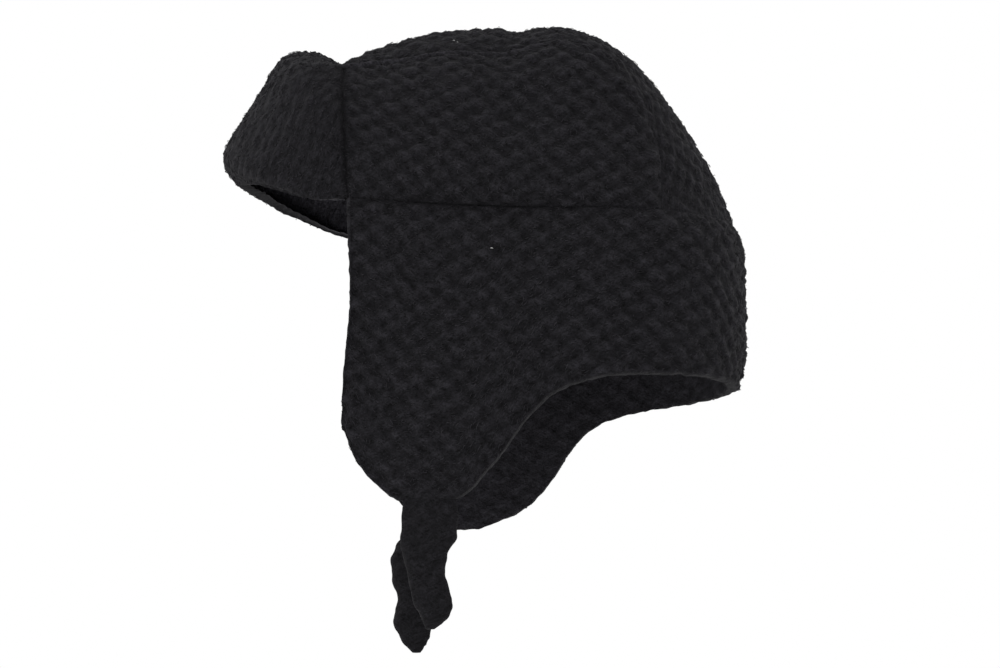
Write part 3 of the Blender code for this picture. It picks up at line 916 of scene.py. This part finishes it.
def knit_piece(
    name, grid, along, up, seed, finishes, relief=1, lumps=0, rolled=1, deep=0, inside=INNER_PAINTED_LIGHT
):
    """Makes the knitted piece that stands for a CAD node. along and up are each point's place in the
    cloth. finishes says how each of the EDGES is finished: tuck for a seam that goes in, valley for a
    wide soft one, welt for one that stands up, and rim for a free rolled edge."""
    core = cores(grid)
    normal = outward_normals(grid, core)
    inner = inner_points(grid, normal, core)
    height = soften(net_height(along, up, seed), 1) * relief
    height += ROUGH_SIZE * relief * value_noise(along / ROUGH_LENGTH, up / ROUGH_LENGTH, seed + 4)
    finishes = finishes.split()
    keep, shape, tone = finish_edges(grid, finishes, rolled, deep)
    outer = grid + normal * (height * keep + shape + lumps)[..., None]
    inner_height = net_height(along + INNER_SHIFT, up, seed + 7)
    inner = inner - normal * (INNER_SHARE * soften(inner_height, 1) * keep)[..., None]
    mesh, count, corners = build_mesh(name, outer, inner, finishes, seed)
    cloth = np.stack([along, up], axis=2)
    places = [cloth.reshape(-1, 2), cloth[::INNER_STEP, ::INNER_STEP].reshape(-1, 2)]
    places += [border(cloth) + step * RIM_CLOTH_STEP for step in range(1, RIM_STEPS + 1)]
    set_cloth(mesh, np.concatenate(places)[corners])
    # Painted shade on the rings round the piece's edges, which keep a low tone
    tones = np.full(count, EDGE_PAINTED_SHADE)
    # Painted shade and light: the outer tone follows stitch height, darker in the gaps, lighter on the
    # tops
    tones[: height.size] = (height * keep / STITCH_HEIGHT + tone).ravel()
    # Painted light on the inner side, where little light reaches, over its painted stitch shade
    inner_tones = inner_height[::INNER_STEP, ::INNER_STEP].ravel() / STITCH_HEIGHT + inside
    tones[height.size : height.size + inner_tones.size] = inner_tones
    set_values(mesh, "relief", np.clip(tones, 0, LARGEST_TONE))
    face_outward(mesh)
    piece = add_piece(name, mesh, black_wool)
    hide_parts(name[: -len("_knit")])
    fuzz = make_fuzz(name[: -len("_knit")] + "_fuzz", outer, normal, along, seed)


def make_fuzz(name, outer, normal, along, seed):
    """Loose fibres that lie on the knit, each with pointed ends, in one mesh."""
    draw = np.random.default_rng(seed + 20)
    rows, columns = outer.shape[:2]
    heights = step_lengths(outer, 0)
    widths = step_lengths(outer, 1)
    cell = heights[:, :-1] * widths[:-1]
    count = int(cell.sum() * FUZZ_DENSITY)
    chosen = draw.choice(cell.size, count, p=(cell / cell.sum()).ravel())
    start_row, start_column = np.divmod(chosen, columns - 1)
    down = heights[start_row, start_column]
    across = widths[start_row, start_column]
    turn = np.radians(draw.normal(FUZZ_TILT, FUZZ_SPREAD, count))
    if abs(along[0, -1] - along[0, 0]) < abs(along[-1, 0] - along[0, 0]):
        turn += math.pi / 2
    length = draw.uniform(*FUZZ_LENGTH, count)
    bend = draw.normal(0, FUZZ_BEND, count)
    lift = np.abs(draw.normal(0, FUZZ_LIFT, count))
    loose = draw.random(count) < FUZZ_LOOSE_SHARE
    rise = np.where(loose, draw.uniform(FUZZ_LOWEST_RISE, 1, count) * FUZZ_LOOSE, 0)
    radius = draw.uniform(*FUZZ_RADIUS, count)
    lint = draw.random(count) < LINT_SHARE
    tone = np.where(lint, 1, FIBRE_TONES * draw.random(count))
    lines = []
    for step in range(FUZZ_STEPS):
        t = step / (FUZZ_STEPS - 1)
        angle = turn + bend * (t - 0.5) * 2
        row = np.clip(start_row + length * (t - 0.5) * np.sin(angle) / down, 0, rows - 1.001)
        column = np.clip(start_column + length * (t - 0.5) * np.cos(angle) / across, 0, columns - 1.001)
        i, j = row.astype(int), column.astype(int)
        u, v = (row - i)[:, None], (column - j)[:, None]
        place = (outer[i, j] * (1 - u) + outer[i + 1, j] * u) * (1 - v)
        place += (outer[i, j + 1] * (1 - u) + outer[i + 1, j + 1] * u) * v
        high = radius * FUZZ_SUNK + lift * math.sin(math.pi * t) + rise * t * t
        lines.append(place + normal[i, j] * high[:, None])
    out = normal[start_row, start_column]
    side = np.cross(lines[-1] - lines[0], out)
    side /= np.maximum(np.linalg.norm(side, axis=1, keepdims=True), 1e-9)
    points = [lines[0]]
    for line in lines[1:-1]:
        for k in range(FUZZ_SIDES):
            angle = 2 * math.pi * k / FUZZ_SIDES
            ring = side * math.cos(angle) + out * math.sin(angle)
            points.append(line + ring * radius[:, None])
    points.append(lines[-1])
    points = np.stack(points, axis=1)
    each = points.shape[1]
    faces = []
    for k in range(FUZZ_SIDES):
        after = (k + 1) % FUZZ_SIDES
        faces.append((0, 1 + k, 1 + after))
        for ring in range(FUZZ_STEPS - 3):
            one, two = 1 + FUZZ_SIDES * ring, 1 + FUZZ_SIDES * (ring + 1)
            faces += [(one + k, two + k, two + after), (one + k, two + after, one + after)]
        last = 1 + FUZZ_SIDES * (FUZZ_STEPS - 3)
        faces.append((last + after, last + k, each - 1))
    faces = (np.array(faces)[None] + each * np.arange(count)[:, None, None]).reshape(-1, 3)
    mesh = new_mesh(name, points.reshape(-1, 3), faces.ravel(), np.full(len(faces), 3))
    set_values(mesh, "tone", np.repeat(tone, each))
    return add_piece(name, mesh, loose_fibres)


def fill(node, **values):
    """Sets values of a node's sockets, which are named with _ for a space."""
    for socket, value in values.items():
        node.inputs[socket.replace("_", " ")].default_value = value


def new_material(name, **values):
    """A material with its shader, nodes and links. The values go into the shader's sockets."""
    material = bpy.data.materials.new(name)
    material.use_nodes = True
    tree = material.node_tree
    shader = tree.nodes["Principled BSDF"]
    fill(shader, **values)
    return material, shader, tree.nodes, tree.links


def fuzz_material():
    material, shader, nodes, links = new_material(
        "loose_fibres", Roughness=0.8, Specular_IOR_Level=0.15, Sheen_Weight=0.03
    )
    tone = nodes.new("ShaderNodeAttribute")
    tone.attribute_name = "tone"
    colour = nodes.new("ShaderNodeValToRGB")
    colour.color_ramp.elements[0].color = DARK_FIBRE
    colour.color_ramp.elements[1].position = 0.92
    colour.color_ramp.elements[1].color = LIGHT_FIBRE
    colour.color_ramp.elements.new(1.0).color = LINT
    links.new(tone.outputs["Fac"], colour.inputs["Fac"])
    links.new(colour.outputs["Color"], shader.inputs["Base Color"])
    return material


def knit_material():
    material, shader, nodes, links = new_material(
        "black_wool", Roughness=0.9, Specular_IOR_Level=0.12, Sheen_Weight=0.035,
        Sheen_Roughness=0.4, Sheen_Tint=(0.8, 0.78, 0.85, 1),
    )
    uv = nodes.new("ShaderNodeUVMap")
    uv.uv_map = "cloth"
    relief = nodes.new("ShaderNodeAttribute")
    relief.attribute_name = "relief"

    def noise(vector, scale, detail, distortion=0.0):
        node = nodes.new("ShaderNodeTexNoise")
        fill(node, Scale=scale, Detail=detail, Roughness=0.6, Distortion=distortion)
        links.new(vector, node.inputs["Vector"])
        return node.outputs["Fac"]

    def streaks(direction):
        turn = nodes.new("ShaderNodeMapping")
        turn.inputs["Rotation"].default_value[2] = -math.atan2(direction[1], direction[0])
        stretch = nodes.new("ShaderNodeMapping")
        fill(stretch, Scale=(STREAK_STRETCH, 1, 1))
        links.new(uv.outputs["UV"], turn.inputs["Vector"])
        links.new(turn.outputs["Vector"], stretch.inputs["Vector"])
        return noise(stretch.outputs["Vector"], STREAK_SCALE, 2.0, 0.6)

    def mix(factor, one, two):
        node = nodes.new("ShaderNodeMix")
        for socket, value in (("Factor", factor), ("A", one), ("B", two)):
            if isinstance(value, float):
                node.inputs[socket].default_value = value
            else:
                links.new(value, node.inputs[socket])
        return node.outputs["Result"]

    patches = noise(uv.outputs["UV"], PATCH_SCALE, 1.0)
    fibre = mix(patches, streaks(NET_RISING), streaks(STROKE))
    clump = noise(uv.outputs["UV"], CLUMP_SCALE, 3.0, 0.8)
    grain = noise(uv.outputs["UV"], GRAIN_SCALE, 2.0)
    wool = mix(GRAIN_SHARE, mix(CLUMP_SHARE, fibre, clump), grain)

    colour = nodes.new("ShaderNodeValToRGB")
    colour.color_ramp.elements[0].position = DARKEST_AT
    colour.color_ramp.elements[0].color = DARK_WOOL
    colour.color_ramp.elements[1].position = LIGHTEST_AT
    colour.color_ramp.elements[1].color = LIGHT_WOOL
    links.new(wool, colour.inputs["Fac"])
    # Painted shade and light: a low relief value darkens the base colour and a high one lightens it
    shade = nodes.new("ShaderNodeMapRange")
    shade.clamp = False
    fill(shade, To_Min=GAP_SHADE, To_Max=TOP_SHADE)
    links.new(relief.outputs["Fac"], shade.inputs["Value"])
    darker = nodes.new("ShaderNodeVectorMath")
    darker.operation = "SCALE"
    links.new(colour.outputs["Color"], darker.inputs["Vector"])
    links.new(shade.outputs["Result"], darker.inputs["Scale"])
    links.new(darker.outputs["Vector"], shader.inputs["Base Color"])

    bump = nodes.new("ShaderNodeBump")
    fill(bump, Strength=1.0, Distance=FIBRE_BUMP)
    links.new(wool, bump.inputs["Height"])
    links.new(bump.outputs["Normal"], shader.inputs["Normal"])
    return material


def across_from_middle(grid):
    """Length over the surface along each row, counted from the middle column."""
    return arc(grid, 1, grid.shape[1] // 2)


def seam_depth(grid):
    """How deep the seam between crown and band is: 1 in the middle of the side, 0 at its ends."""
    along_seam = np.abs(grid[..., 1] - SEAM_MIDDLE) / SEAM_REACH
    return 1 - np.clip(along_seam, 0, 1) ** 2


def make_band():
    rows, back, side = BAND_GRID
    turns = np.concatenate([np.linspace(0, 1, back), np.linspace(1, 2, side)[1:]])
    half = coarse_grid(lambda down, turn: band_point(turn, down), np.linspace(0, 1, rows), turns)
    grid = refine(with_mirror(half), BAND_CELL)
    low = np.clip((FLAP_TOP - grid[..., 2]) / FLAP_EASE, 0, 1)
    behind = np.clip((grid[..., 1] - CORNER_Y - RIGHT_TIE_PLACE * CROWN_LENGTH) / FLAP_EASE, 0, 1)
    far = grid[..., 0] < 0
    bottom = np.clip(1 - (grid[..., 2] - grid[..., 2].min()) / CORNER_EASE, 0, 1)
    corner = np.clip(behind * FLAP_EASE / CORNER_EASE - CORNER_START, 0, 1)
    grid[..., 1] += FAR_FLAP_FULLER * low * behind * far
    grid[..., 2] += CORNER_LIFT * bottom * corner * far
    along = -arc(grid, 1, 0)[:1].repeat(grid.shape[0], axis=0)
    up = -arc(grid, 0, 0)
    rolled = 1 - near_ties(grid)
    deep = seam_depth(grid)
    knit_piece("ear_flap_band_knit", grid, along, up, 11, "tuck rim rim rim", rolled=rolled, deep=deep)


def near_ties(grid):
    """1 where a tie is sewn to the rim and 0 away from it."""
    near = np.zeros(grid.shape[:2])
    for side, place in ((1, LEFT_TIE_PLACE), (-1, RIGHT_TIE_PLACE)):
        distance = np.abs(grid[..., 1] - CORNER_Y - place * CROWN_LENGTH)
        one = ramp(distance - TIE_WIDTH * TIE_FLAT_SHARE, TIE_WIDTH * TIE_FADE_SHARE)
        near = np.maximum(near, one * (grid[..., 0] * side > 0))
    return near


def make_side_panels():
    rows, columns = PANEL_GRID
    backs = [(k / (columns - 1)) ** COLUMN_CROWDING for k in range(columns)]
    left = coarse_grid(lambda down, back: panel_point(back, down), np.linspace(0, 1, rows), backs)
    for side, sign, seed in (("left", 1, 31), ("right", -1, 41)):
        grid = refine(left * (sign, 1, 1), CELL)
        along = across_from_middle(grid)
        up = -arc(grid, 0, -1)
        top = edge_distance(grid, EDGES[0]) < edge_distance(grid, EDGES[1])
        from_front = arc(grid, 1, 0) / WELT_LENGTH
        deep = np.where(top, 1 - np.clip(from_front, 0, 1) ** 2, seam_depth(grid))
        knit_piece("crown_side_%s_knit" % side, grid, along, up, seed, "welt tuck valley tuck", deep=deep)


def make_strip():
    rows, columns = STRIP_GRID
    places = np.linspace(0, STRIP_END, rows)
    grid = refine(coarse_grid(strip_point, places, np.linspace(-1, 1, columns)), CELL)
    along = arc(grid, 0, 0)
    up = -across_from_middle(grid)
    across = ramp(np.abs(up), np.abs(up).max())
    lengthwise = np.sin(np.pi * np.clip(along / CROWN_LUMP_LENGTH, 0, 1)) ** CROWN_LUMP_ROUNDNESS
    lumps = CROWN_TOP_LUMP * across * lengthwise
    name, finishes = "crown_centre_strip_knit", "valley tuck tuck tuck"
    knit_piece(name, grid, along, up, 51, finishes, relief=STRIP_RELIEF, lumps=lumps)


def make_front_piece(name, function, size, seed, finishes, growing):
    """A piece of the peak, from the crown forward. Its rows of stitches run round the front, and the
    extra height on its top either grows forward or fades out."""
    half = coarse_grid(function, np.linspace(0, 1, size[0]), np.linspace(0, 1, size[1]))
    grid = refine(with_mirror(half), CELL)
    along = -arc(grid, 0, 0)
    up = -across_from_middle(grid).mean(axis=0)[None].repeat(grid.shape[0], axis=0)
    part_way = np.linspace(0, 1, grid.shape[0])[:, None]
    forward = np.sin(np.pi / 2 * part_way) if growing else ramp(np.abs(along), PEAK_LUMP_LENGTH)
    lumps = PEAK_TOP_LUMP * ramp(np.abs(up), PEAK_LUMP_WIDTH) * forward
    # Painted light on the inner side of the peak, where little light reaches
    knit_piece(
        name, grid, along, up, seed, finishes, relief=PEAK_RELIEF, lumps=lumps, inside=PEAK_INNER_PAINTED_LIGHT
    )


def make_peak():
    def crescent(part_way, around):
        return peak_point(around, crescent_share(around) * part_way)

    def peak(part_way, around):
        start = crescent_share(around)
        return peak_point(around, start + (1 - start) * part_way)

    make_front_piece("peak_band_knit", crescent, CRESCENT_GRID, 61, "valley tuck rim rim", True)
    make_front_piece("peak_knit", peak, PEAK_GRID, 71, "tuck rim rim rim", False)


def make_tie(name, sections, place, side, seed, longer=0.0):
    """A soft tie that grows out of the flap's wall and ends in a blunt point."""
    hang_y = CORNER_Y + place * CROWN_LENGTH
    rim = band_point(place_on_seam(hang_y), 1)
    sewn_x = rim.x - KNIT_WALL / 2
    free_x = rim.x - KNIT_WALL - TIE_CLEARANCE - TIE_THICKNESS * sections["thickness"][0] / 2
    last_row = len(sections["down"]) - 1
    angles = np.linspace(0, 2 * math.pi, TIE_AROUND + 1) - side * math.pi / 2
    rings = []
    for i in range(TIE_DOWN + 1):
        row = TIE_START_ROW + i / TIE_DOWN * (last_row - TIE_START_ROW)
        down, forward, width, thickness, lean = (
            follow(range(last_row + 1), values, row) for values in sections.values()
        )
        free = min(max((down - TIE_FREE_START) / TIE_FREE_LENGTH, 0), 1)
        middle_x = sewn_x + (free_x - sewn_x) * free * free * (3 - 2 * free)
        middle = (
            side * (middle_x - TIE_LEAN * lean),
            hang_y - TIE_WIDTH * forward,
            rim.z + TIE_TUCK - (TIE_LENGTH + longer) * down,
        )
        thick = TIE_THICKNESS / 2 * thickness * np.sin(angles)
        across = TIE_WIDTH / 2 * width * np.cos(angles)
        rings.append(np.stack([thick, across, np.zeros_like(angles)], axis=1) + middle)
    grid = np.array(rings)
    normal = outward_normals(grid, grid.mean(axis=1, keepdims=True))
    around = arc(grid, 1, 0)
    down = arc(grid, 0, 0)
    height = soften(net_height(around, -down, seed), 2) * TIE_RELIEF
    rough = value_noise(around / ROUGH_LENGTH, down / ROUGH_LENGTH, seed + 4)
    height += TIE_ROUGH * ROUGH_SIZE * rough
    height[:, -1] = height[:, 0]
    normal[:, -1] = normal[:, 0] = (normal[:, 0] + normal[:, -1]) / 2
    from_ends = np.minimum(np.arange(TIE_DOWN + 1), np.arange(TIE_DOWN, -1, -1)) / TIE_END_ROWS
    outer = grid + normal * (height * np.clip(from_ends, 0, 1)[:, None])[..., None]
    outer = outer[:, :-1]
    rows, columns = outer.shape[:2]
    index = np.arange(rows * columns).reshape(rows, columns)
    after = np.roll(index, -1, axis=1)
    quads = np.stack([index[:-1], index[1:], after[1:], after[:-1]], axis=2).reshape(-1, 4)
    top_middle = np.full(columns, index.size)
    top = np.stack([index[0], after[0], top_middle], axis=1)
    low = np.stack([after[-1], index[-1], top_middle + 1], axis=1)
    corners = np.concatenate([quads.ravel(), top.ravel(), low.ravel()])
    middles = [outer[0].mean(axis=0), outer[-1].mean(axis=0)]
    points = np.concatenate([outer.reshape(-1, 3), middles])
    mesh = new_mesh(name, points, corners, np.repeat([4, 3], [len(quads), 2 * columns]))
    uv = np.stack([around, -down], axis=2)
    ends_uv = np.repeat([uv[0, :-1], uv[-1, :-1]], 3, axis=1)
    set_cloth(mesh, np.concatenate([cell_corners(uv).ravel(), ends_uv.ravel()]))
    # Painted shade at the middles of the tie's two ends
    tones = np.full(len(points), EDGE_PAINTED_SHADE)
    # Painted shade and light on the ties: darker in stitch gaps, lighter on tops, from a lower tone
    tones[: index.size] = (height[:, :-1] / STITCH_HEIGHT + TIE_TONE).ravel()
    set_values(mesh, "relief", np.clip(tones, 0, 1))
    face_outward(mesh)
    piece = add_piece(name, mesh, black_wool)
    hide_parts(name[: -len("_knit")])


def aim(thing, place, away):
    """Puts a camera or a light at a place and turns its back to a direction."""
    thing.location = place
    thing.rotation_mode = "QUATERNION"
    thing.rotation_quaternion = away.to_track_quat("Z", "Y")


def make_camera():
    data = bpy.data.cameras.new("photo_camera")
    data.sensor_width = CAMERA_SENSOR
    data.lens = CAMERA_LENS
    camera = add_object("photo_camera", data)
    azimuth, elevation = math.radians(CAMERA_AZIMUTH), math.radians(CAMERA_ELEVATION)
    level = math.cos(elevation)
    away = Vector((math.sin(azimuth) * level, -math.cos(azimuth) * level, math.sin(elevation)))
    aim(camera, Vector(CAMERA_TARGET) + away * CAMERA_DISTANCE, away)
    bpy.context.scene.camera = camera


def make_stage():
    scene = bpy.context.scene
    scene.view_settings.view_transform = "Standard"
    world = bpy.data.worlds.new("white_room")
    world.use_nodes = True
    fill(world.node_tree.nodes["Background"], Color=(1, 1, 1, 1), Strength=1.0)
    scene.world = world
    floor = bpy.data.meshes.new("floor")
    size, level = FLOOR_HALF_SIZE, FLOOR_LEVEL
    corners = [(-size, -size, level), (size, -size, level), (size, size, level), (-size, size, level)]
    floor.from_pydata(corners, [], [(0, 1, 2, 3)])
    board = add_object("floor", floor)
    floor.materials.append(new_material("pale_floor", Base_Color=FLOOR_COLOUR, Roughness=0.8)[0])
    for name, place, size, power in LIGHTS:
        data = bpy.data.lights.new(name, "AREA")
        data.size = size
        data.energy = power
        aim(add_object(name, data), place, Vector(place) - Vector(LIGHT_TARGET))


make_camera()
make_stage()
black_wool = knit_material()
loose_fibres = fuzz_material()
make_band()
make_side_panels()
make_strip()
make_peak()
make_tie("left_tie_knit", LEFT_TIE, LEFT_TIE_PLACE, 1, 81)
make_tie("right_tie_knit", RIGHT_TIE, RIGHT_TIE_PLACE, -1, 91, FAR_TIE_LONGER)
